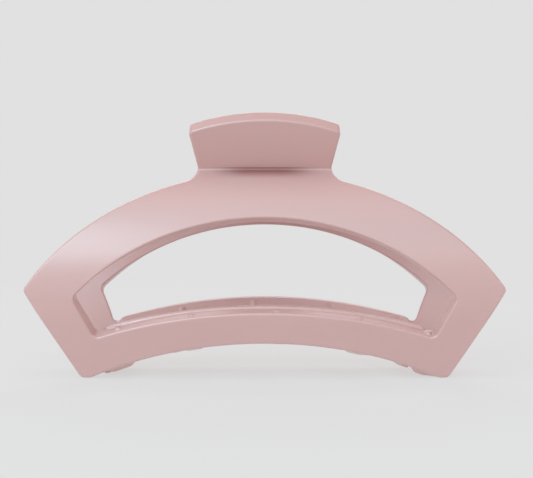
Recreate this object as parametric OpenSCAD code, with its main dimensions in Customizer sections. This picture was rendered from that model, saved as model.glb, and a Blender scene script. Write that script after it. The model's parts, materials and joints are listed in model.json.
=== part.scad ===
// Open-frame claw clip: two identical curved jaws on one sprung hinge.
// X runs along the clip, +Y is the rear jaw's side, +Z is up. The origin is
// under the middle of the clip, on the surface it stands on with four corners.

/* [Jaw outline, seen from the front] */
// Half of the overall length, at the two side tips
tip_x = 60.5; // [58:0.1:62]
// Height of the side tips
tip_z = 24.4; // [22:0.2:27]
// Half distance between the lower corners
corner_x = 47.8; // [46.5:0.1:49]
// Radius of the arched top edge
top_r = 75.2; // [74:0.1:77]
// Height of the arched top edge at the middle
top_z = 53.3; // [52.6:0.1:54]
// Radius of the lower edge
low_r = 110.5; // [108:0.5:114]
// Height of the lower edge at the middle
low_z = 9.7; // [9:0.1:10.5]

/* [Window] */
// Height of the window's top edge at the middle, on the outer face
win_top_z = 41.4; // [40:0.1:42.5]
// Height of the window's lower edge at the middle, on the outer face
win_low_z = 17.7; // [16.8:0.1:18.8]
// Half width of the window at its upper corners
win_ux = 47.8; // [46:0.1:49]
// Height of the window's upper corners
win_uz = 21.7; // [20.5:0.1:23]
// Half width of the window at its lower corners
win_lx = 43.2; // [42:0.1:44.5]
// Height of the window's lower corners
win_lz = 11.4; // [10.5:0.1:12.5]

/* [Jaw section] */
// Wall thickness of the jaws
wall = 3.5; // [3:0.1:4]
// Distance from the clip's middle plane to the widest part of the outer face
belly_y = 24; // [22.5:0.1:25]
// Height of the widest part
belly_z = 31; // [30:0.2:32]
// Radius of the belly's section
belly_r = 32; // [30:0.5:36]
// Inward lean of the lower band, in degrees
lean = 30; // [26:1:32]
// Radius of the shoulder's section, above the window
shoulder_r = 30; // [29:0.5:31]
// How far the ledge along the inside of the lower band stands in from the wall
ledge = 2.6; // [2:0.1:3]
// Radius of the slight curve in plan
plan_r = 600; // [500:50:900]

/* [Thumb tab] */
// Outward lean of the tab, in degrees
tab_lean = 45; // [43:1:46]
// Length of the tab up its slope, from the crease
tab_len = 15.5; // [13:0.1:16]
// Half width of the tab at its foot
tab_foot = 17; // [15:0.1:18]
// Half width of the tab at its top corners
tab_top = 19.4; // [17:0.1:20]
// Thickness of the tab
tab_t = 3.5; // [3:0.1:4]
// Radius of the hollow corner between the tab's foot and the arched top edge
neck_r = 2.8; // [2:0.1:3.2]

/* [Hinge] */
// Height of the hinge pin
pin_z = 50; // [49.5:0.1:50.5]
// Diameter of the hinge pin
pin_d = 2; // [1.6:0.1:2.2]
// Radial clearance of the pin in the rear jaw's knuckles
pin_clear = 0.05; // [0.02:0.01:0.09]
// Outer radius of the knuckles
knuckle_r = 3.5; // [3.2:0.1:3.8]
// Thickness of each knuckle
knuckle_t = 2.6; // [2.2:0.1:2.7]

/* [Spring] */
// Wire diameter of the torsion spring
wire_d = 1.3; // [1.1:0.1:1.4]
// Mean radius of the coil
coil_r = 3.05; // [2.8:0.05:3.2]
// Number of turns, a half turn more than a whole number
turns = 6.5; // [5.5:1:6.5]

/* [Teeth] */
// Width of a tooth at its root
tooth_root = 6.6; // [5.5:0.1:7]
// Width of a tooth near its tip
tooth_tip = 2.2; // [1.8:0.1:2.6]
// Thickness of a tooth
tooth_t = 3; // [2.6:0.1:3.2]

/* [Hidden] */
pink = [0.83, 0.66, 0.66];
steel = [0.72, 0.72, 0.74];
big = 400;
plan_c = plan_r - belly_y;         // distance from the middle plane to the plan curve's centre
up_a = 20;                         // where the belly's arc meets the shoulder's arc, in degrees
end_a = 52;                        // where the shoulder ends, inside the foot of the tab
// Centre of the shoulder's arc: the two arcs share a tangent at up_a
sh_y = belly_y - belly_r + (belly_r - shoulder_r) * cos(up_a);
sh_z = belly_z + (belly_r - shoulder_r) * sin(up_a);
// Crease between body and tab: the point of the shoulder 47.5 degrees up
crease_a = 47.5;
crease_y = sh_y + shoulder_r * cos(crease_a);
crease_z = sh_z + shoulder_r * sin(crease_a);
// Tooth positions on the front jaw; the rear jaw's are these turned half a turn
tooth_x = [-37, -18.2, 3, 23.5, 41.5];
coil_half = turns * 1.72 / 2;      // half length of the coil
leg_x = coil_half;                 // the two legs leave at the coil's ends
leg_len = 16.5;                    // each leg ends between the two ribs on the tab's back

// Outer height of the lower edge at a distance x from the middle
function low_at(x) = low_z - low_r + sqrt(low_r * low_r - x * x);
// Height of the window's lower edge on the outer face, at a distance x from the middle
function win_at(x) = win_low_z - (win_low_z - win_lz) * x * x / (win_lx * win_lx);
// Height of a tooth's underside at the middle plane
function tooth_base(x) = max(0.4, low_at(x) - 1.8);
// Slope of the lower edge at a distance x from the middle, in degrees
function low_slope(x) = atan(x / sqrt(low_r * low_r - x * x));
// How far a tooth's tip goes past the middle plane: short of the other jaw's wall
function tooth_reach(x) = min(6.5, face_at(tooth_base(x)) - x * x / (2 * plan_r) - wall / cos(lean) - 1.3);
// Distance of the outer face from the middle plane, at height z
function face_at(z) =
    z < belly_z - belly_r * sin(lean)
        ? belly_y - belly_r * (1 - cos(lean)) - (belly_z - belly_r * sin(lean) - z) * tan(lean)
        : belly_y - belly_r + sqrt(belly_r * belly_r - (z - belly_z) * (z - belly_z));

// Point of the wall's section at angle a, at a depth below the outer face
function belly_pt(a, depth) = [belly_y - belly_r + (belly_r - depth) * cos(a), belly_z + (belly_r - depth) * sin(a)];
function shoulder_pt(a, depth) = [sh_y + (shoulder_r - depth) * cos(a), sh_z + (shoulder_r - depth) * sin(a)];
foot_l = 22;                       // length of the straight lower part
function foot_pt(depth) = belly_pt(-lean, depth) - foot_l * [sin(lean), cos(lean)];
// One side of the section from bottom to top: straight part, belly arc, shoulder arc
function side_pts(depth) = concat(
    [foot_pt(depth)],
    [for (i = [0:15]) belly_pt(-lean + (up_a + lean) * i / 15, depth)],
    [for (i = [1:14]) shoulder_pt(up_a + (end_a - up_a) * i / 14, depth)]
);

// Section of the jaw's wall, from one depth below the outer face to another
module section(from, to) {
    inner = side_pts(to);
    polygon(concat(side_pts(from), [for (i = [len(inner) - 1:-1:0]) inner[i]]));
}

// The section swept along the slight curve in plan
module shell(from, to) {
    translate([0, plan_c, 0])
        rotate([0, 0, -90 - 6.5])
            rotate_extrude(angle = 13, $fn = 1440)
                translate([plan_c, 0]) section(from, to);
}

// A flat outline in X and Z, made thick along Y
module through() {
    rotate([90, 0, 0]) translate([0, 0, -1]) linear_extrude(60) children();
}

// Outline of the jaw's frame, seen from the front
module frame_outline() {
    intersection() {
        translate([0, top_z - top_r]) circle(r = top_r, $fn = 360);
        polygon([
            [-corner_x, 0], [corner_x, 0], [tip_x, tip_z],
            [tip_x, 60], [-tip_x, 60], [-tip_x, tip_z]
        ]);
    }
    neck_outline();
}

// Neck that carries the tab, with a hollow corner down to the arch each side
module neck_outline() {
    arch_z = top_z - top_r;
    fx = tab_foot + neck_r;
    fz = arch_z + sqrt((top_r + neck_r) * (top_r + neck_r) - fx * fx);
    along = top_r / (top_r + neck_r);
    tx = fx * along;
    tz = arch_z + (fz - arch_z) * along;
    difference() {
        polygon([
            [-tx, tz - 4], [tx, tz - 4], [tx, tz], [tab_foot, fz], [tab_foot, 56],
            [-tab_foot, 56], [-tab_foot, fz], [-tx, tz]
        ]);
        for (side = [-1, 1]) translate([side * fx, fz]) circle(r = neck_r, $fn = 96);
    }
}

// Everything below the lower edge
module below_edge() {
    translate([0, low_z - low_r]) circle(r = low_r, $fn = 480);
}

// Solid of the window: side planes, an upper and a lower boundary whose walls
// stand square to the face, so they tilt with it
module window() {
    top_tilt = 22;
    low_tilt = 28;
    top_cut = 74.2;
    low_cut = 118;
    slope = (win_uz - win_lz) / (win_ux - win_lx);
    intersection() {
        through()
            polygon([
                [-win_lx + 2 / slope, win_lz - 2], [win_lx - 2 / slope, win_lz - 2],
                [win_lx, win_lz], [win_ux, win_uz], [win_ux + 20 / slope, win_uz + 20],
                [-win_ux - 20 / slope, win_uz + 20], [-win_ux, win_uz], [-win_lx, win_lz]
            ]);
        translate([0, -face_at(win_top_z), win_top_z])
            rotate([90 - top_tilt, 0, 0])
                translate([0, -top_cut, -40]) cylinder(r = top_cut, h = 80, $fn = 360);
        difference() {
            translate([-60, -60, 0]) cube([120, 70, 60]);
            translate([0, -face_at(win_low_z), win_low_z])
                rotate([90 + low_tilt, 0, 0])
                    translate([0, -low_cut, -60]) cylinder(r = low_cut, h = 120, $fn = 480);
        }
    }
}

// Thumb tab: a plate with flared sides and a slightly arched top, leaning out
module tab() {
    arch = 48;
    translate([0, -crease_y, crease_z])
        rotate([90 + tab_lean, 0, 0])
            translate([0, 0, -tab_t])
                linear_extrude(tab_t)
                    intersection() {
                        polygon([
                            [-tab_foot, -3.2], [tab_foot, -3.2], [tab_foot, 0.5],
                            [tab_top + 0.2, tab_len + 1], [-tab_top - 0.2, tab_len + 1], [-tab_foot, 0.5]
                        ]);
                        translate([0, tab_len - arch]) circle(r = arch, $fn = 360);
                    }
}

// One knuckle: a round eye for the pin and a web back to the wall
module knuckle(x) {
    translate([x, 0, 0]) rotate([90, 0, 90]) linear_extrude(knuckle_t) {
        translate([0, pin_z]) circle(r = knuckle_r, $fn = 96);
        polygon([
            [-0.6, pin_z - knuckle_r + 0.05], [-1.2, pin_z + knuckle_r - 0.2],
            [-6.2, pin_z + knuckle_r - 0.6], [-12, pin_z + 1.6],
            [-17, pin_z - 3], [-18.4, pin_z - 6.5], [-14, pin_z - 6.2]
        ]);
    }
}

// Two ribs on the back of the tab that keep the spring's leg in place
module leg_guide(x) {
    translate([x, -crease_y, crease_z])
        rotate([90 + tab_lean, 0, 0])
            for (side = [-1, 1])
                translate([side * (wire_d / 2 + 0.75) - 0.45, 0.6, -tab_t - 1.1])
                    cube([0.9, 4, 1.3]);
}

// One tooth: a horn that curls inward about the hinge, wide where it leaves the
// lower band, with a rib up the inside of the band to the window
module tooth(x) {
    z = low_at(x);
    face = face_at(z) - x * x / (2 * plan_r);
    reach = tooth_reach(x);         // how far it goes past the middle plane
    r_out = pin_z - z + 1.8;
    root_y = face - 1.5;
    intersection() {
        translate([x, 0, pin_z - r_out]) rotate([0, low_slope(x), 0])
            translate([0, 0, r_out]) rotate([0, 90, 0]) translate([0, 0, -6])
                difference() {
                    cylinder(r = r_out, h = 12, $fn = 360);
                    translate([0, 0, -1]) cylinder(r = r_out - tooth_t, h = 14, $fn = 360);
                }
        translate([x - 10, -40, 0.3]) cube([20, 60, 20]);
        translate([0, 0, -2]) linear_extrude(40) {
            polygon([
                [x - tooth_root / 2, -root_y], [x + tooth_root / 2, -root_y],
                [x + tooth_tip / 2, reach - tooth_tip / 2], [x - tooth_tip / 2, reach - tooth_tip / 2]
            ]);
            translate([x, reach - tooth_tip / 2]) circle(r = tooth_tip / 2, $fn = 48);
        }
        shell_inside();
    }
    intersection() {
        shell(1, wall + ledge + 0.4);
        translate([x - 0.6, -40, z + 1.2]) cube([1.2, 40, win_at(x) + 0.8 - z - 1.2]);
    }
}

// Ledge along the inside of the lower band, level with the window's lower edge
module inner_ledge() {
    xs = [for (i = [-20:20]) i * 2.05];
    intersection() {
        shell(wall - 0.8, wall + ledge);
        through()
            polygon(concat(
                [for (x = xs) [x, win_at(x) - 0.8]],
                [for (i = [len(xs) - 1:-1:0]) [xs[i], win_at(xs[i]) + 1.7]]
            ));
    }
}

// Everything behind the middle of the wall's thickness
module shell_inside() {
    translate([0, plan_c, 0])
        rotate([0, 0, -90 - 6.5])
            rotate_extrude(angle = 13, $fn = 1440)
                translate([plan_c, 0])
                    polygon([
                        [face_at(-6) - 2 / cos(lean), -6], [face_at(16) - 2 / cos(lean), 16],
                        [-12, 16], [-12, -6]
                    ]);
}

module jaw(bore_r) {
    difference() {
        union() {
            difference() {
                intersection() {
                    shell(0, wall);
                    through() frame_outline();
                }
                through() below_edge();
                window();
            }
            tab();
            inner_ledge();
            knuckle(-12.4);
            knuckle(6.8);
            leg_guide(-leg_x);
            for (x = tooth_x) tooth(x);
        }
        translate([-20, 0, pin_z]) rotate([0, 90, 0]) cylinder(r = bore_r, h = 40, $fn = 96);
    }
}

module front_jaw() {
    color(pink) jaw(pin_d / 2);
}

module rear_jaw() {
    color(pink) rotate([0, 0, 180]) jaw(pin_d / 2 + pin_clear);
}

// Steel pin with a head at one end and a peened end at the other
module hinge_pin() {
    color(steel) translate([0, 0, pin_z]) rotate([0, 90, 0]) {
        translate([0, 0, -13.2]) cylinder(d = pin_d, h = 26.4, $fn = 96);
        translate([0, 0, -13.3]) cylinder(d = pin_d + 1.6, h = 0.8, $fn = 96);
        translate([0, 0, 12.6]) cylinder(d = pin_d + 1.2, h = 0.7, $fn = 96);
    }
}

// Centre line of the spring's wire: a leg up the front tab, the coil, and a
// leg up the rear tab
function leg_dir() = [0, sin(tab_lean), cos(tab_lean)];
tab_gap = crease_y * cos(tab_lean) - (crease_z - pin_z) * sin(tab_lean) - tab_t;  // pin to the tab's back face
leg_start = 180 + (90 - tab_lean);
module torsion_spring() {
    n = 8;
    steps = 18;
    total = round(turns * steps);
    a0 = 90 - tab_lean;
    // Angle of the wire about the pin, measured from -Y up over +Z. The left leg
    // leaves at the point nearest the front tab, the right leg nearest the rear tab.
    function coil_p(i) = let (a = 0 - tab_lean - 360 * i / steps, t = i / total)
        [-coil_half + 2 * coil_half * t, -coil_r * cos(a), pin_z + coil_r * sin(a)];
    left_leg = [for (k = [5:-1:1]) let (s = leg_len * k / 5, o = min(1, s / 6) * (tab_gap - coil_r - wire_d / 2 - 0.15))
        [-coil_half, -coil_r * cos(tab_lean) - s * sin(tab_lean) - o * cos(tab_lean),
         pin_z - coil_r * sin(tab_lean) + s * cos(tab_lean) - o * sin(tab_lean)]];
    right_leg = [for (k = [1:1:5]) let (s = leg_len * k / 5, o = min(1, s / 6) * (tab_gap - coil_r - wire_d / 2 - 0.15))
        [coil_half, coil_r * cos(tab_lean) + s * sin(tab_lean) + o * cos(tab_lean),
         pin_z - coil_r * sin(tab_lean) + s * cos(tab_lean) - o * sin(tab_lean)]];
    path = concat(left_leg, [for (i = [0:total]) coil_p(i)], right_leg);
    color(steel) wire(path, wire_d / 2, n);
}

// A round wire swept along a list of points. Each ring's own X is kept square
// to the path and as near the clip's X as it can be, so the sweep never twists.
module wire(path, r, n) {
    m = len(path);
    function unit(v) = v / norm(v);
    tangents = [for (i = [0:m - 1]) unit(path[min(m - 1, i + 1)] - path[max(0, i - 1)])];
    points = [for (i = [0:m - 1])
        let (t = tangents[i],
             u = unit([1, 0, 0] - t * t[0]),
             v = cross(t, u))
        for (k = [0:n - 1]) path[i] + r * (cos(360 * k / n) * u + sin(360 * k / n) * v)];
    faces = concat(
        [[for (k = [0:n - 1]) k]],
        [for (i = [0:m - 2]) for (k = [0:n - 1])
            [i * n + k, (i + 1) * n + k, (i + 1) * n + (k + 1) % n, i * n + (k + 1) % n]],
        [[for (k = [n - 1:-1:0]) (m - 1) * n + k]]);
    polyhedron(points = points, faces = faces, convexity = 10);
}

front_jaw();
rear_jaw();
hinge_pin();
torsion_spring();
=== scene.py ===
import json
import math

import bpy
import numpy as np
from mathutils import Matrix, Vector


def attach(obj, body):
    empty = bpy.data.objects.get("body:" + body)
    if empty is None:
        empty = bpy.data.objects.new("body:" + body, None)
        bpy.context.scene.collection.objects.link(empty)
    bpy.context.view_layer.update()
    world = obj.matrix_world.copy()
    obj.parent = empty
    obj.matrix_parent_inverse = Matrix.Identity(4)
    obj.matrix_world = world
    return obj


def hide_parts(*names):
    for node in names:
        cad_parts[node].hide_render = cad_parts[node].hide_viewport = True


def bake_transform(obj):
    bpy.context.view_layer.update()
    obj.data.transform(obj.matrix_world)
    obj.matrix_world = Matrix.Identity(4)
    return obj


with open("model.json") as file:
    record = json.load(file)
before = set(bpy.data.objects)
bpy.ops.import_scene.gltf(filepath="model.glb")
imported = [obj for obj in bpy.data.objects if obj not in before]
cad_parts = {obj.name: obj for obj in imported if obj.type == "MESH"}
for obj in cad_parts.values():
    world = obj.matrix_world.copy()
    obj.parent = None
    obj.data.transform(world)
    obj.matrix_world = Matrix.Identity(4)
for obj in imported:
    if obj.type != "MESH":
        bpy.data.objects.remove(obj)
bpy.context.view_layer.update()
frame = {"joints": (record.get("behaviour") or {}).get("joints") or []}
SCENE = bpy.context.scene
MM = 0.001

# ----------------------------------------------------------------------------
# Dimensions in millimetres, the same as the design's
# ----------------------------------------------------------------------------
TIP_X, TIP_Z, CORNER_X = 60.5, 24.4, 47.8
TOP_R, TOP_Z = 75.2, 53.3
LOW_R, LOW_Z = 110.5, 9.7
WIN_TOP_Z, WIN_TOP_R = 41.4, 66.5
WIN_LOW_Z, WIN_LOW_R = 17.7, 137.9
WIN_UX, WIN_UZ, WIN_LX, WIN_LZ = 47.8, 21.7, 43.2, 11.4
WALL = 3.5
BELLY_Y, BELLY_Z, BELLY_R = 24.0, 31.0, 32.0
LEAN, UP_A, END_A = math.radians(30), math.radians(20), math.radians(52)
SH_R = 30.0
PLAN_R = 600.0
PLAN_C = PLAN_R - BELLY_Y
TAB_A, TAB_LEN, TAB_FOOT, TAB_TOP, TAB_T = math.radians(45), 15.5, 17.0, 19.4, 3.5
NECK_R = 2.8
LEDGE = 2.6
PIN_Z, PIN_R = frame["joints"][0]["pos_m"][2] * 1000, 1.0
KNUCKLE_R, KNUCKLE_T = 3.5, 2.6
WIRE_R, COIL_R, TURNS = 0.65, 3.05, 6.5
TOOTH_ROOT, TOOTH_TIP, TOOTH_T = 6.6, 2.2, 3.0
TOOTH_X = (-37.0, -18.2, 3.0, 23.5, 41.5)
SH_Y = BELLY_Y - BELLY_R + (BELLY_R - SH_R) * math.cos(UP_A)
SH_Z = BELLY_Z + (BELLY_R - SH_R) * math.sin(UP_A)
CREASE_A = math.radians(47.5)
CREASE_Y = SH_Y + SH_R * math.cos(CREASE_A)
CREASE_Z = SH_Z + SH_R * math.sin(CREASE_A)
COIL_HALF = TURNS * 1.72 / 2


def low_at(x):
    return LOW_Z - LOW_R + math.sqrt(LOW_R * LOW_R - x * x)


def win_at(x):
    return WIN_LOW_Z - (WIN_LOW_Z - WIN_LZ) * x * x / (WIN_LX * WIN_LX)


def face_at(z):
    z1 = BELLY_Z - BELLY_R * math.sin(LEAN)
    if z < z1:
        return BELLY_Y - BELLY_R * (1 - math.cos(LEAN)) - (z1 - z) * math.tan(LEAN)
    return BELLY_Y - BELLY_R + math.sqrt(BELLY_R**2 - (z - BELLY_Z) ** 2)


def tooth_base(x):
    return max(0.4, low_at(x) - 1.8)


def tooth_reach(x):
    inner = face_at(tooth_base(x)) - x * x / (2 * PLAN_R) - WALL / math.cos(LEAN)
    return min(6.5, inner - 1.3)


# ----------------------------------------------------------------------------
# The moulding as a distance field: negative inside, rounded where it meets
# ----------------------------------------------------------------------------
def rmax(a, b, r):
    """Intersection with a rounded edge of radius r."""
    u, v = np.maximum(a + r, 0), np.maximum(b + r, 0)
    return np.minimum(-r, np.maximum(a, b)) + np.sqrt(u * u + v * v)


def rmin(a, b, r):
    """Union with a fillet of radius r."""
    u, v = np.maximum(r - a, 0), np.maximum(r - b, 0)
    return np.maximum(r, np.minimum(a, b)) - np.sqrt(u * u + v * v)


def polygon_distance(px, py, pts):
    d = np.full(px.shape, 1e9)
    inside = np.zeros(px.shape, bool)
    n = len(pts)
    for i in range(n):
        ax, ay = pts[i]
        bx, by = pts[(i + 1) % n]
        ex, ey = bx - ax, by - ay
        wx, wy = px - ax, py - ay
        t = np.clip((wx * ex + wy * ey) / (ex * ex + ey * ey), 0, 1)
        d = np.minimum(d, (wx - ex * t) ** 2 + (wy - ey * t) ** 2)
        cross = (ay > py) != (by > py)
        with np.errstate(divide="ignore", invalid="ignore"):
            at = ax + (py - ay) * ex / (ey if ey else 1e-12)
        inside ^= cross & (px < at)
    d = np.sqrt(d)
    return np.where(inside, -d, d)


def jaw_field(p):
    """Signed distance, in mm, to the front jaw's moulding at points p."""
    x, y, z = p[:, 0], p[:, 1], p[:, 2]
    ax = np.abs(x)
    # depth below the outer face, and the height of the nearest point on that face
    q = np.sqrt(x * x + (PLAN_C - y) ** 2) - PLAN_C
    bq, bz = q - (BELLY_Y - BELLY_R), z - BELLY_Z
    depth = BELLY_R - np.hypot(bq, bz)
    face_z = BELLY_Z + BELLY_R * bz / np.maximum(np.hypot(bq, bz), 1e-6)
    sq, sz = q - SH_Y, z - SH_Z
    on_shoulder = math.cos(UP_A) * sz - math.sin(UP_A) * sq > 0
    hs = np.maximum(np.hypot(sq, sz), 1e-6)
    depth = np.where(on_shoulder, SH_R - hs, depth)
    face_z = np.where(on_shoulder, SH_Z + SH_R * sz / hs, face_z)
    # past the shoulder's end the wall runs on flat inside the foot of the tab
    eq, ez = q - (SH_Y + SH_R * math.cos(END_A)), z - (SH_Z + SH_R * math.sin(END_A))
    end_d = -(-math.sin(END_A) * eq + math.cos(END_A) * ez)
    fq, fz = q - (BELLY_Y - BELLY_R + BELLY_R * math.cos(LEAN)), z - (BELLY_Z - BELLY_R * math.sin(LEAN))
    on_foot = math.cos(LEAN) * bz + math.sin(LEAN) * bq < 0
    df = -(fq * math.cos(LEAN) - fz * math.sin(LEAN))
    depth = np.where(on_foot, df, depth)
    face_z = np.where(on_foot, z - df * math.sin(LEAN), face_z)

    # coordinates of the tab: up its slope from the crease, and out of its face
    ca, sa = math.cos(TAB_A), math.sin(TAB_A)
    ty, tz = y + CREASE_Y, z - CREASE_Z
    up = -sa * ty + ca * tz
    out = -ca * ty - sa * tz

    # section: the wall, and the tab's plate growing out of its end
    wall_s = rmax(np.maximum(-depth, depth - WALL), -end_d, 0.2)
    tab_s = rmax(np.abs(out + TAB_T / 2) - TAB_T / 2, -3.2 - up, 0.4)
    section = rmin(wall_s, tab_s, 0.5)

    # the frame's outline, cut straight back, with the tab's neck on its arch
    top = np.hypot(x, z - (TOP_Z - TOP_R)) - TOP_R
    top = rmin(top, np.maximum(ax - TAB_FOOT, z - 55), NECK_R)
    low = LOW_R - np.hypot(x, z - (LOW_Z - LOW_R))
    sl = math.hypot(TIP_X - CORNER_X, TIP_Z)
    side = ((ax - CORNER_X) * TIP_Z - z * (TIP_X - CORNER_X)) / sl
    outline = rmax(rmax(rmax(top, side, 0.8), -z, 0.8), low, 0.3)
    # the tab's own outline
    k = (TAB_TOP - TAB_FOOT) / TAB_LEN
    t_side = (ax - (TAB_FOOT + np.maximum(up - 0.5, 0) * k)) / math.hypot(1, k)
    t_top = np.hypot(x, up - (TAB_LEN - 48)) - 48
    t_plan = np.maximum(rmax(t_side, t_top, 1.1), -3.2 - up)
    t = np.clip((up + 1) / 4, 0, 1)
    body = rmax(section, np.minimum(outline, t_plan), 0.5)

    # the window, whose walls stand square to the face with a little draft
    draft = 0.035 * depth
    wl = math.hypot(WIN_UX - WIN_LX, WIN_UZ - WIN_LZ)
    wside = ((ax - WIN_LX) * (WIN_UZ - WIN_LZ) - (face_z - WIN_LZ) * (WIN_UX - WIN_LX)) / wl + draft
    wtop = np.hypot(x, face_z - (WIN_TOP_Z - WIN_TOP_R)) - WIN_TOP_R + draft
    wlow = WIN_LOW_R - np.hypot(x, face_z - (WIN_LOW_Z - WIN_LOW_R)) + draft * 0.4
    window = rmax(rmax(wside, wtop, 1.3), wlow, 1.3)
    body = rmax(body, -window, 0.5)

    # ledge along the inside of the lower band
    rise = z - (WIN_LOW_Z - (WIN_LOW_Z - WIN_LZ) * x * x / (WIN_LX * WIN_LX))
    lip = rmax(np.maximum(depth - WALL - LEDGE, WALL - 0.8 - depth), np.maximum(rise - 1.7, -0.8 - rise) * 0.96, 0.45)
    lip = rmax(lip, ax - 41, 1.2)
    field = rmin(body, lip, 0.5)

    # hinge knuckles and the ribs that keep the spring's leg
    web = polygon_distance(
        y, z,
        [(-0.6, PIN_Z - KNUCKLE_R + 0.05), (-1.2, PIN_Z + KNUCKLE_R - 0.2), (-6.2, PIN_Z + KNUCKLE_R - 0.6),
         (-12, PIN_Z + 1.6), (-17, PIN_Z - 3), (-18.4, PIN_Z - 6.5), (-14, PIN_Z - 6.2)],
    )
    eye = np.hypot(y, z - PIN_Z) - KNUCKLE_R
    flat = np.minimum(web, eye)
    for x0 in (-12.4, 6.8):
        plate = rmax(flat, np.abs(x - x0 - KNUCKLE_T / 2) - KNUCKLE_T / 2, 0.35)
        field = rmin(field, plate, 0.6)
    gl = np.abs(up - 2.6) - 2.0
    gh = np.maximum(-(out + TAB_T + 1.1), out + TAB_T - 0.2)
    for side_sign in (-1, 1):
        gx = np.abs(x + COIL_HALF - side_sign * (WIRE_R + 0.75)) - 0.45
        field = rmin(field, rmax(rmax(gx, gl, 0.2), gh, 0.2), 0.3)

    # teeth: horns that curl inward about the hinge, and their ribs
    for x0 in TOOTH_X:
        near = np.abs(x - x0) < 7
        if not near.any():
            continue
        xn, yn, zn, dn = x[near] - x0, y[near], z[near], depth[near]
        reach, base = tooth_reach(x0), tooth_base(x0)
        face = face_at(low_at(x0)) - x0 * x0 / (2 * PLAN_R)
        root = face - 1.5
        t = np.clip((yn + root) / (reach + root), 0, 1)
        half = TOOTH_ROOT / 2 + (TOOTH_TIP - TOOTH_ROOT) / 2 * t
        thick = TOOTH_T / 2 * (1 - 0.34 * t * t)
        mid = PIN_Z - (low_at(x0) - 1.8) - TOOTH_T / 2
        slope = x0 / math.sqrt(LOW_R**2 - x0 * x0)
        rn = np.hypot(yn, zn + slope * xn - PIN_Z)
        tooth = rmax(np.abs(rn - mid) - thick, (np.abs(xn) - half) * 0.993, 1.0)
        tooth = rmax(tooth, yn - reach, 1.0)
        tooth = rmax(tooth, 0.35 - zn, 0.3)
        tooth = np.maximum(tooth, 2.0 - dn)
        rib = rmax(np.abs(xn) - 0.6, np.maximum(dn - WALL - LEDGE - 0.4, 1.0 - dn), 0.5)
        rib = rmax(rib, np.maximum(zn - win_at(x0) - 0.8, low_at(x0) + 1.2 - zn), 0.5)
        here = rmin(field[near], tooth, 1.0)
        field[near] = rmin(here, rib, 0.5)

    bore = PIN_R + 0.03 - np.hypot(y, z - PIN_Z)
    bore = np.where(ax < 20, bore, -5)
    return rmax(field, bore, 0.15)


def surface_net(field, low, high, h, block=4, reach=0.5):
    """Quads of the field's zero level on a grid of step h, looked at only near the surface."""
    low = np.array(low, float)
    n = (np.ceil((np.array(high) - low) / (h * block)).astype(int)) * block
    bn = n // block
    bi = np.stack(np.meshgrid(*[np.arange(k) for k in bn], indexing="ij"), -1).reshape(-1, 3)
    centre = low + (bi + 0.5) * block * h
    dc = np.concatenate([field(c) for c in np.array_split(centre, max(1, len(centre) // 200000))])
    keep = np.abs(dc) < block * h * 0.87 + reach
    grid = np.repeat(np.repeat(np.repeat(dc.reshape(bn), block, 0), block, 1), block, 2)
    grid = np.pad(grid, ((0, 1),) * 3, mode="edge").astype(np.float32)
    offs = np.stack(np.meshgrid(*[np.arange(block + 1)] * 3, indexing="ij"), -1).reshape(-1, 3)
    ids = (bi[keep][:, None, :] * block + offs[None]).reshape(-1, 3)
    flat = np.unique(np.ravel_multi_index(ids.T, grid.shape))
    ids = np.stack(np.unravel_index(flat, grid.shape), -1)
    pts = low + ids * h
    vals = np.concatenate([field(c) for c in np.array_split(pts, max(1, len(pts) // 200000))])
    grid.ravel()[flat] = vals
    s = grid > 0
    c = np.zeros(tuple(np.array(grid.shape) - 1), np.int8)
    for a in (0, 1):
        for b in (0, 1):
            for d in (0, 1):
                c += s[a:s.shape[0] - 1 + a, b:s.shape[1] - 1 + b, d:s.shape[2] - 1 + d]
    cells = np.argwhere((c > 0) & (c < 8))
    index = np.full(c.shape, -1, np.int32)
    index[tuple(cells.T)] = np.arange(len(cells))
    total, count = np.zeros((len(cells), 3)), np.zeros(len(cells))
    corner = [(a, b, d) for a in (0, 1) for b in (0, 1) for d in (0, 1)]
    for i, ca in enumerate(corner):
        for cb in corner[i + 1:]:
            if sum(abs(u - v) for u, v in zip(ca, cb)) != 1:
                continue
            va = grid[tuple((cells + ca).T)].astype(float)
            vb = grid[tuple((cells + cb).T)].astype(float)
            hit = (va > 0) != (vb > 0)
            t = np.where(hit, va / np.where(va == vb, 1, va - vb), 0)
            pos = np.array(ca) + t[:, None] * (np.array(cb) - np.array(ca))
            total += np.where(hit[:, None], pos, 0)
            count += hit
    verts = low + (cells + total / count[:, None]) * h
    quads = []
    for axis in range(3):
        o1, o2 = [np.eye(3, dtype=int)[k] for k in range(3) if k != axis]
        sl0 = [slice(None)] * 3
        sl1 = [slice(None)] * 3
        sl0[axis], sl1[axis] = slice(0, -1), slice(1, None)
        s0, s1 = s[tuple(sl0)], s[tuple(sl1)]
        for flip, mask in ((False, s1 & ~s0), (True, s0 & ~s1)):
            e = np.argwhere(mask)
            e = e[(e[:, 0] > 0) | (axis == 0)]
            e = e[(e[:, 1] > 0) | (axis == 1)]
            e = e[(e[:, 2] > 0) | (axis == 2)]
            e = e[(e < np.array(c.shape)).all(1)]
            q = np.stack([index[tuple((e - o).T)] for o in (0 * o1, o1, o1 + o2, o2)], 1)
            q = q[(q >= 0).all(1)]
            turn = flip ^ (axis == 1)
            quads.append(q if not turn else q[:, ::-1])
    return verts, np.concatenate(quads)


def gradient(field, p, e=0.015):
    g = np.zeros_like(p)
    for k in range(3):
        o = np.zeros(3)
        o[k] = e
        g[:, k] = (field(p + o) - field(p - o)) / (2 * e)
    return g


def project(field, v, steps=2):
    for _ in range(steps):
        g = gradient(field, v)
        n2 = np.maximum((g * g).sum(1), 0.05)
        step = (field(v) / n2)[:, None] * g
        length = np.linalg.norm(step, axis=1, keepdims=True)
        v = v - step * np.minimum(1, 0.25 / np.maximum(length, 1e-9))
    return v


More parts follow.
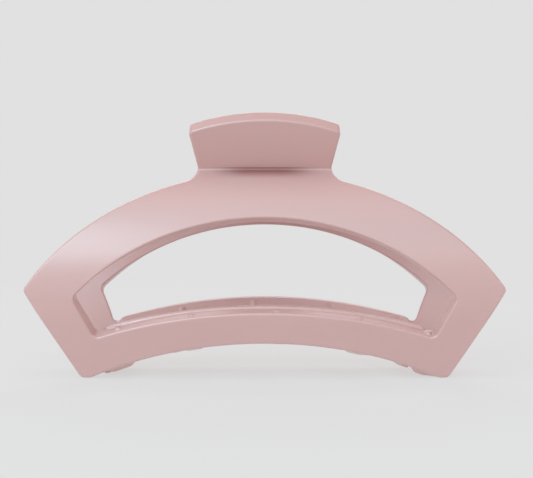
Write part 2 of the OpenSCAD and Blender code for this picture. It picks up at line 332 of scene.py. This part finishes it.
def relax(v, quads, amount):
    total, count = np.zeros_like(v), np.zeros(len(v))
    for a, b in ((0, 1), (1, 2), (2, 3), (3, 0)):
        for i, j in ((a, b), (b, a)):
            np.add.at(total, quads[:, i], v[quads[:, j]])
            np.add.at(count, quads[:, i], 1)
    return v + amount * (total / count[:, None] - v)


def new_mesh(name, verts_mm, faces, normals=None):
    mesh = bpy.data.meshes.new(name)
    v = np.asarray(verts_mm, float) * MM
    f = np.asarray(faces, np.int32)
    mesh.vertices.add(len(v))
    mesh.vertices.foreach_set("co", v.astype(np.float32).ravel())
    mesh.loops.add(f.size)
    mesh.loops.foreach_set("vertex_index", f.ravel())
    mesh.polygons.add(len(f))
    mesh.polygons.foreach_set("loop_start", np.arange(len(f), dtype=np.int32) * f.shape[1])
    mesh.polygons.foreach_set("use_smooth", np.ones(len(f), bool))
    mesh.update(calc_edges=True)
    mesh.validate()
    if normals is not None:
        mesh.normals_split_custom_set_from_vertices([tuple(n) for n in normals])
    ob = bpy.data.objects.new(name, mesh)
    SCENE.collection.objects.link(ob)
    return ob


STEP = 0.36
verts, quads = surface_net(jaw_field, (-61, -26, -0.8), (61, 8, 68), STEP)
verts = project(jaw_field, verts)
for _ in range(3):
    verts = project(jaw_field, relax(verts, quads, 0.5), 1)
verts = project(jaw_field, verts, 1)
verts[:, 2] = np.maximum(verts[:, 2], 0.0)
normals = gradient(jaw_field, verts)
normals /= np.maximum(np.linalg.norm(normals, axis=1, keepdims=True), 1e-9)
front = new_mesh("front_jaw_moulding", verts, quads, normals)
turn = np.array([-1.0, -1.0, 1.0])
rear = new_mesh("rear_jaw_moulding", verts * turn, quads, normals * turn)
print("jaw mesh", len(verts), "verts", len(quads), "quads")


# ----------------------------------------------------------------------------
# Steel: the pin and the torsion spring
# ----------------------------------------------------------------------------
def lathe(name, profile, sides):
    """Turns (x, r) points about the pin's axis."""
    rings = []
    for px, r in profile:
        a = np.arange(sides) * 2 * math.pi / sides
        rings.append(np.stack([np.full(sides, px), r * np.cos(a), PIN_Z + r * np.sin(a)], 1))
    v = np.concatenate(rings)
    n = len(profile)
    f = [(i * sides + k, i * sides + (k + 1) % sides, (i + 1) * sides + (k + 1) % sides, (i + 1) * sides + k)
         for i in range(n - 1) for k in range(sides)]
    ob = new_mesh(name, v, np.array(f)[:, ::-1])
    return ob


def arc(cx, cr, r, a0, a1, n):
    return [(cx + r * math.cos(a), cr + r * math.sin(a)) for a in np.linspace(math.radians(a0), math.radians(a1), n)]


head = [(-13.3, 0.02), (-13.3, 0.5)] + [(-13.3 + 0.22 * (1 - math.cos(t)), 1.32 + 0.45 * math.sin(t)) for t in np.linspace(0, math.pi / 2, 7)]
head += [(-12.62, 1.77), (-12.52, 1.72), (-12.5, 1.62), (-12.5, 1.06), (-12.46, 1.0)]
shank = [(px, 1.0) for px in np.linspace(-12.2, 12.3, 40)]
peen = [(12.6, 1.0), (12.6, 1.35), (12.66, 1.5), (12.8, 1.58), (12.98, 1.52), (13.14, 1.28), (13.25, 0.92), (13.3, 0.5), (13.3, 0.02)]
pin = lathe("hinge_pin_steel", head + shank + peen, 48)


def sweep(name, path, r, sides):
    path = np.array(path, float)
    tan = np.gradient(path, axis=0)
    tan /= np.linalg.norm(tan, axis=1, keepdims=True)
    u = np.array([1.0, 0, 0]) - tan * tan[:, :1]
    u /= np.linalg.norm(u, axis=1, keepdims=True)
    w = np.cross(tan, u)
    a = np.arange(sides) * 2 * math.pi / sides
    radius = np.full(len(path), r)
    rings = path[:, None, :] + radius[:, None, None] * (np.cos(a)[None, :, None] * u[:, None, :] + np.sin(a)[None, :, None] * w[:, None, :])
    v = rings.reshape(-1, 3)
    m = len(path)
    f = [(i * sides + k, (i + 1) * sides + k, (i + 1) * sides + (k + 1) % sides, i * sides + (k + 1) % sides)
         for i in range(m - 1) for k in range(sides)]
    caps = []
    for start, sign in ((0, -1), (m - 1, 1)):
        base = len(v)
        inner = path[start] + (rings[start] - path[start]) * 0.6 + tan[start] * sign * 0.1
        tip = path[start] + tan[start] * sign * 0.12
        v = np.concatenate([v, inner, tip[None]])
        for k in range(sides):
            a0, a1 = start * sides + k, start * sides + (k + 1) % sides
            b0, b1 = base + k, base + (k + 1) % sides
            q = (a0, a1, b1, b0) if sign > 0 else (a1, a0, b0, b1)
            caps.append(q)
            t = (b0, b1, base + sides, base + sides) if sign > 0 else (b1, b0, base + sides, base + sides)
            caps.append(t)
    mesh = bpy.data.meshes.new(name)
    faces = [list(q) for q in f] + [list(dict.fromkeys(q)) for q in caps]
    mesh.from_pydata([tuple(p * MM) for p in v], [], faces)
    mesh.polygons.foreach_set("use_smooth", np.ones(len(mesh.polygons), bool))
    mesh.update()
    ob = bpy.data.objects.new(name, mesh)
    SCENE.collection.objects.link(ob)
    return ob


lean = TAB_A
gap = CREASE_Y * math.cos(lean) - (CREASE_Z - PIN_Z) * math.sin(lean) - TAB_T
spare = gap - COIL_R - WIRE_R - 0.15


def leg(sign, s):
    o = spare * (1 - math.cos(math.pi * min(1, s / 6))) / 2
    yy = COIL_R * math.cos(lean) + s * math.sin(lean) + o * math.cos(lean)
    zz = PIN_Z - COIL_R * math.sin(lean) + s * math.cos(lean) - o * math.sin(lean)
    return (sign * COIL_HALF, sign * yy, zz)


steps = 36
total = round(TURNS * steps)
coil = []
for i in range(total + 1):
    a = -lean - 2 * math.pi * i / steps
    t = i / total
    coil.append((-COIL_HALF + 2 * COIL_HALF * t, -COIL_R * math.cos(a), PIN_Z + COIL_R * math.sin(a)))
ss = np.linspace(0.35, 16.4, 34)
path = [leg(-1, s) for s in ss[::-1]] + coil + [leg(1, s) for s in ss]
spring = sweep("torsion_spring_wire", path, WIRE_R, 16)


# ----------------------------------------------------------------------------
# Materials
# ----------------------------------------------------------------------------
def nodes_of(name):
    mat = bpy.data.materials.new(name)
    mat.use_nodes = True
    nt = mat.node_tree
    return mat, nt, nt.nodes["Principled BSDF"]


def add(nt, kind, **props):
    node = nt.nodes.new(kind)
    for key, value in props.items():
        if key.startswith("in_"):
            node.inputs[key[3:].replace("_", " ")].default_value = value
        else:
            setattr(node, key, value)
    return node


def plastic():
    mat, nt, b = nodes_of("rose_gloss_plastic")
    coord = add(nt, "ShaderNodeTexCoord")
    # flow of the pigment: very soft, stretched clouds
    stretch = add(nt, "ShaderNodeMapping")
    stretch.inputs["Scale"].default_value = (22, 60, 45)
    nt.links.new(coord.outputs["Object"], stretch.inputs["Vector"])
    cloud = add(nt, "ShaderNodeTexNoise", in_Scale=1.0, in_Detail=3.0, in_Roughness=0.5)
    nt.links.new(stretch.outputs["Vector"], cloud.inputs["Vector"])
    ramp = add(nt, "ShaderNodeValToRGB")
    ramp.color_ramp.elements[0].position, ramp.color_ramp.elements[1].position = 0.3, 0.7
    ramp.color_ramp.elements[0].color = (0.565, 0.316, 0.298, 1)
    ramp.color_ramp.elements[1].color = (0.580, 0.328, 0.310, 1)
    nt.links.new(cloud.outputs["Fac"], ramp.inputs["Fac"])
    # a painted shade: a darker tone painted by position on the plastic, in the middle just under the crease, standing
    # in for the shade that lies there
    place = add(nt, "ShaderNodeSeparateXYZ")
    nt.links.new(coord.outputs["Object"], place.inputs[0])
    width = add(nt, "ShaderNodeMath", operation="ABSOLUTE")
    nt.links.new(place.outputs["X"], width.inputs[0])
    # depth here is the mask of the painted shade under the crease, not a depth in the plastic
    depth = None
    for socket, bounds in ((width.outputs[0], (0.004, 0.0155, 1, 0)), (place.outputs["Z"], (0.0510, 0.0535, 0, 1)),
                           (place.outputs["Z"], (0.0541, 0.0544, 1, 0))):
        r = add(nt, "ShaderNodeMapRange", interpolation_type="SMOOTHSTEP")
        for key, v in zip(("From Min", "From Max", "To Min", "To Max"), bounds):
            r.inputs[key].default_value = v
        nt.links.new(socket, r.inputs["Value"])
        if depth is None:
            depth = r.outputs["Result"]
        else:
            m = add(nt, "ShaderNodeMath", operation="MULTIPLY")
            nt.links.new(depth, m.inputs[0])
            nt.links.new(r.outputs["Result"], m.inputs[1])
            depth = m.outputs[0]
    # mix the painted shade's dark red into the plastic's colour through that mask
    painted_crease_shade = add(nt, "ShaderNodeMixRGB")
    nt.links.new(depth, painted_crease_shade.inputs[0])
    nt.links.new(ramp.outputs["Color"], painted_crease_shade.inputs[1])
    painted_crease_shade.inputs[2].default_value = (0.27, 0.085, 0.072, 1)
    nt.links.new(painted_crease_shade.outputs[0], b.inputs["Base Color"])
    b.inputs["Subsurface Weight"].default_value = 0.12
    b.inputs["Subsurface Radius"].default_value = (1.0, 0.45, 0.4)
    b.inputs["Subsurface Scale"].default_value = 0.0012
    b.inputs["IOR"].default_value = 1.5
    b.inputs["Coat Weight"].default_value = 1.0
    b.inputs["Coat IOR"].default_value = 1.75
    b.inputs["Coat Roughness"].default_value = 0.36
    # roughness: fine handling haze
    haze = add(nt, "ShaderNodeTexNoise", in_Scale=260.0, in_Detail=4.0, in_Roughness=0.6)
    nt.links.new(coord.outputs["Object"], haze.inputs["Vector"])
    rr = add(nt, "ShaderNodeMapRange")
    rr.inputs["To Min"].default_value = 0.36
    rr.inputs["To Max"].default_value = 0.48
    nt.links.new(haze.outputs["Fac"], rr.inputs["Value"])
    nt.links.new(rr.outputs["Result"], b.inputs["Roughness"])
    # bump: slow sink waves of the moulding and a faint fine grain
    wave = add(nt, "ShaderNodeTexNoise", in_Scale=70.0, in_Detail=1.0, in_Roughness=0.4)
    nt.links.new(coord.outputs["Object"], wave.inputs["Vector"])
    fine = add(nt, "ShaderNodeTexNoise", in_Scale=2600.0, in_Detail=2.0, in_Roughness=0.5)
    nt.links.new(coord.outputs["Object"], fine.inputs["Vector"])
    b1 = add(nt, "ShaderNodeBump", in_Strength=0.35, in_Distance=0.0002)
    nt.links.new(wave.outputs["Fac"], b1.inputs["Height"])
    b2 = add(nt, "ShaderNodeBump", in_Strength=0.10, in_Distance=0.00001)
    nt.links.new(fine.outputs["Fac"], b2.inputs["Height"])
    nt.links.new(b1.outputs["Normal"], b2.inputs["Normal"])
    nt.links.new(b2.outputs["Normal"], b.inputs["Normal"])
    return mat


def steel(name, tone, rough, stripe):
    mat, nt, b = nodes_of(name)
    coord = add(nt, "ShaderNodeTexCoord")
    mapping = add(nt, "ShaderNodeMapping")
    mapping.inputs["Scale"].default_value = stripe
    nt.links.new(coord.outputs["Object"], mapping.inputs["Vector"])
    lines = add(nt, "ShaderNodeTexNoise", in_Scale=1.0, in_Detail=4.0, in_Roughness=0.65)
    nt.links.new(mapping.outputs["Vector"], lines.inputs["Vector"])
    ramp = add(nt, "ShaderNodeValToRGB")
    ramp.color_ramp.elements[0].position, ramp.color_ramp.elements[1].position = 0.3, 0.75
    ramp.color_ramp.elements[0].color = (tone * 0.86, tone * 0.86, tone * 0.88, 1)
    ramp.color_ramp.elements[1].color = (tone, tone, tone * 1.01, 1)
    nt.links.new(lines.outputs["Fac"], ramp.inputs["Fac"])
    nt.links.new(ramp.outputs["Color"], b.inputs["Base Color"])
    b.inputs["Metallic"].default_value = 1.0
    rr = add(nt, "ShaderNodeMapRange")
    rr.inputs["To Min"].default_value = rough * 0.75
    rr.inputs["To Max"].default_value = rough * 1.3
    nt.links.new(lines.outputs["Fac"], rr.inputs["Value"])
    nt.links.new(rr.outputs["Result"], b.inputs["Roughness"])
    bump = add(nt, "ShaderNodeBump", in_Strength=0.25, in_Distance=0.00002)
    nt.links.new(lines.outputs["Fac"], bump.inputs["Height"])
    nt.links.new(bump.outputs["Normal"], b.inputs["Normal"])
    return mat


rose = plastic()
for ob in (front, rear):
    ob.data.materials.append(rose)
pin.data.materials.append(steel("drawn_steel", 0.60, 0.26, (200, 2600, 2600)))
spring.data.materials.append(steel("spring_wire_nickel", 0.56, 0.22, (900, 900, 900)))

# ----------------------------------------------------------------------------
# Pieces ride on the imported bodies
# ----------------------------------------------------------------------------
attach(front, "front")
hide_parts("front_jaw")
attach(rear, "rear")
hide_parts("rear_jaw")
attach(pin, "front")
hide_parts("hinge_pin")
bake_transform(spring)
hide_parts("torsion_spring")

# ----------------------------------------------------------------------------
# Stage, light and camera
# ----------------------------------------------------------------------------
SCENE.view_settings.view_transform = "Standard"

D, ZC = 0.212, 0.0362
f_px = 4120.0 * D
cam_data = bpy.data.cameras.new("camera")
cam = bpy.data.objects.new("camera", cam_data)
SCENE.collection.objects.link(cam)
SCENE.camera = cam
cam_data.sensor_fit = "HORIZONTAL"
cam_data.sensor_width = 36
cam_data.lens = 36 * f_px / 533
cam.location = (0, -(BELLY_Y * MM + D), ZC)
cam.rotation_euler = (math.radians(90), 0, 0)
cam_data.shift_x = (266.5 - 264.7) / 533
cam_data.shift_y = -(239 - 238.5) / 533
cam_data.clip_start = 0.01

# pale floor, which glows a little so that its shadows stay soft and light, and
# only glows far away, so that it meets the backdrop without a line
FLOOR_GLOW, FLOOR_TONE, BACKDROP, WORLD = 0.555, 0.21, 0.752, 0.573


def paper(name):
    mat, nt, b = nodes_of(name)
    coord = add(nt, "ShaderNodeTexCoord")
    away = add(nt, "ShaderNodeVectorMath", operation="LENGTH")
    nt.links.new(coord.outputs["Object"], away.inputs[0])
    for socket, near, far in (("Base Color", FLOOR_TONE, 0.0), ("Emission Strength", FLOOR_GLOW, BACKDROP)):
        r = add(nt, "ShaderNodeMapRange", interpolation_type="SMOOTHSTEP")
        r.inputs["From Min"].default_value, r.inputs["From Max"].default_value = 0.12, 0.55
        r.inputs["To Min"].default_value, r.inputs["To Max"].default_value = near, far
        nt.links.new(away.outputs["Value"], r.inputs["Value"])
        nt.links.new(r.outputs["Result"], b.inputs[socket])
    b.inputs["Roughness"].default_value = 1.0
    b.inputs["Specular IOR Level"].default_value = 0.0
    b.inputs["Emission Color"].default_value = (1, 1, 1, 1)
    return mat


sm = bpy.data.meshes.new("floor")
ring = [(4.4 * math.cos(a), 4.4 * math.sin(a), 0.0) for a in np.arange(64) * math.pi / 32]
sm.from_pydata(ring, [], [list(range(64))])
floor = bpy.data.objects.new("floor", sm)
SCENE.collection.objects.link(floor)
sm.materials.append(paper("paper_floor"))

# backdrop: a wide plain dome that only closes the view
bm = bpy.data.meshes.new("backdrop")
turns_, rings_ = 48, 24
dome = [(0, 0, -4.5)] + [(4.5 * math.cos(e) * math.cos(a), 4.5 * math.cos(e) * math.sin(a), 4.5 * math.sin(e))
                         for e in (np.arange(1, rings_) / rings_ - 0.5) * math.pi for a in np.arange(turns_) * 2 * math.pi / turns_] + [(0, 0, 4.5)]
df = [(0, 1 + (k + 1) % turns_, 1 + k) for k in range(turns_)]
df += [(1 + i * turns_ + k, 1 + i * turns_ + (k + 1) % turns_, 1 + (i + 1) * turns_ + (k + 1) % turns_, 1 + (i + 1) * turns_ + k)
       for i in range(rings_ - 2) for k in range(turns_)]
df += [(len(dome) - 1, 1 + (rings_ - 2) * turns_ + k, 1 + (rings_ - 2) * turns_ + (k + 1) % turns_) for k in range(turns_)]
bm.from_pydata(dome, [], df)
backdrop = bpy.data.objects.new("backdrop", bm)
SCENE.collection.objects.link(backdrop)
bmat = bpy.data.materials.new("backdrop_paper")
bmat.use_nodes = True
bmat.node_tree.nodes.clear()
b_out = bmat.node_tree.nodes.new("ShaderNodeOutputMaterial")
b_em = bmat.node_tree.nodes.new("ShaderNodeEmission")
b_em.inputs["Color"].default_value = (1, 1, 1, 1)
b_em.inputs["Strength"].default_value = BACKDROP
bmat.node_tree.links.new(b_em.outputs[0], b_out.inputs["Surface"])
bm.materials.append(bmat)
backdrop.visible_diffuse = backdrop.visible_glossy = backdrop.visible_transmission = backdrop.visible_shadow = False

world = bpy.data.worlds.new("studio")
SCENE.world = world
world.use_nodes = True
world.node_tree.nodes["Background"].inputs[0].default_value = (1.17, 0.94, 0.89, 1)
world.node_tree.nodes["Background"].inputs[1].default_value = WORLD


def area(name, loc, target, size, energy, size_y=None, tone=(1, 1, 1), seen=False):
    light = bpy.data.lights.new(name, "AREA")
    light.energy = energy
    light.color = tone
    light.size = size
    if size_y:
        light.shape = "RECTANGLE"
        light.size_y = size_y
    ob = bpy.data.objects.new(name, light)
    SCENE.collection.objects.link(ob)
    ob.location = loc
    ob.rotation_euler = (Vector(target) - Vector(loc)).to_track_quat("-Z", "Y").to_euler()
    ob.visible_camera = seen
    return ob


LIGHTS = {
    "top_front": ((0.0, -0.6, 1.1), (0, 0, 0.02), 1.4, 0.86, 0.4, (1.02, 1.03, 0.95)),
    "front_wall": ((0.0, -1.3, 0.80), (0, 0, 0.03), 2.2, 4.88, 1.4, (0.42, 1.19, 1.39)),
    "left_box": ((-1.1, -0.75, 0.40), (0, 0, 0.03), 1.4, 7.20, 1.1, (0.66, 1.10, 1.24)),
    "right_box": ((1.1, -0.75, 0.35), (0, 0, 0.03), 0.5, 1.60, 0.5, (0.80, 1.02, 1.12)),
    "left_front": ((-0.7, -1.2, 0.30), (0, 0, 0.03), 1.0, 5.24, 0.9, (0.74, 1.04, 1.21)),
    "front_low": ((0.0, -1.4, 0.13), (0, 0, 0.02), 1.6, 1.42, 0.2, (0.81, 1.17, 1.02)),
    "back_top": ((0.0, 0.9, 0.9), (0, 0, 0.05), 1.2, 3.85, 0.6, (0.86, 1.02, 1.12)),
}
for name, (loc, target, size, energy, size_y, tone) in LIGHTS.items():
    area(name, loc, target, size, energy, size_y, tone)
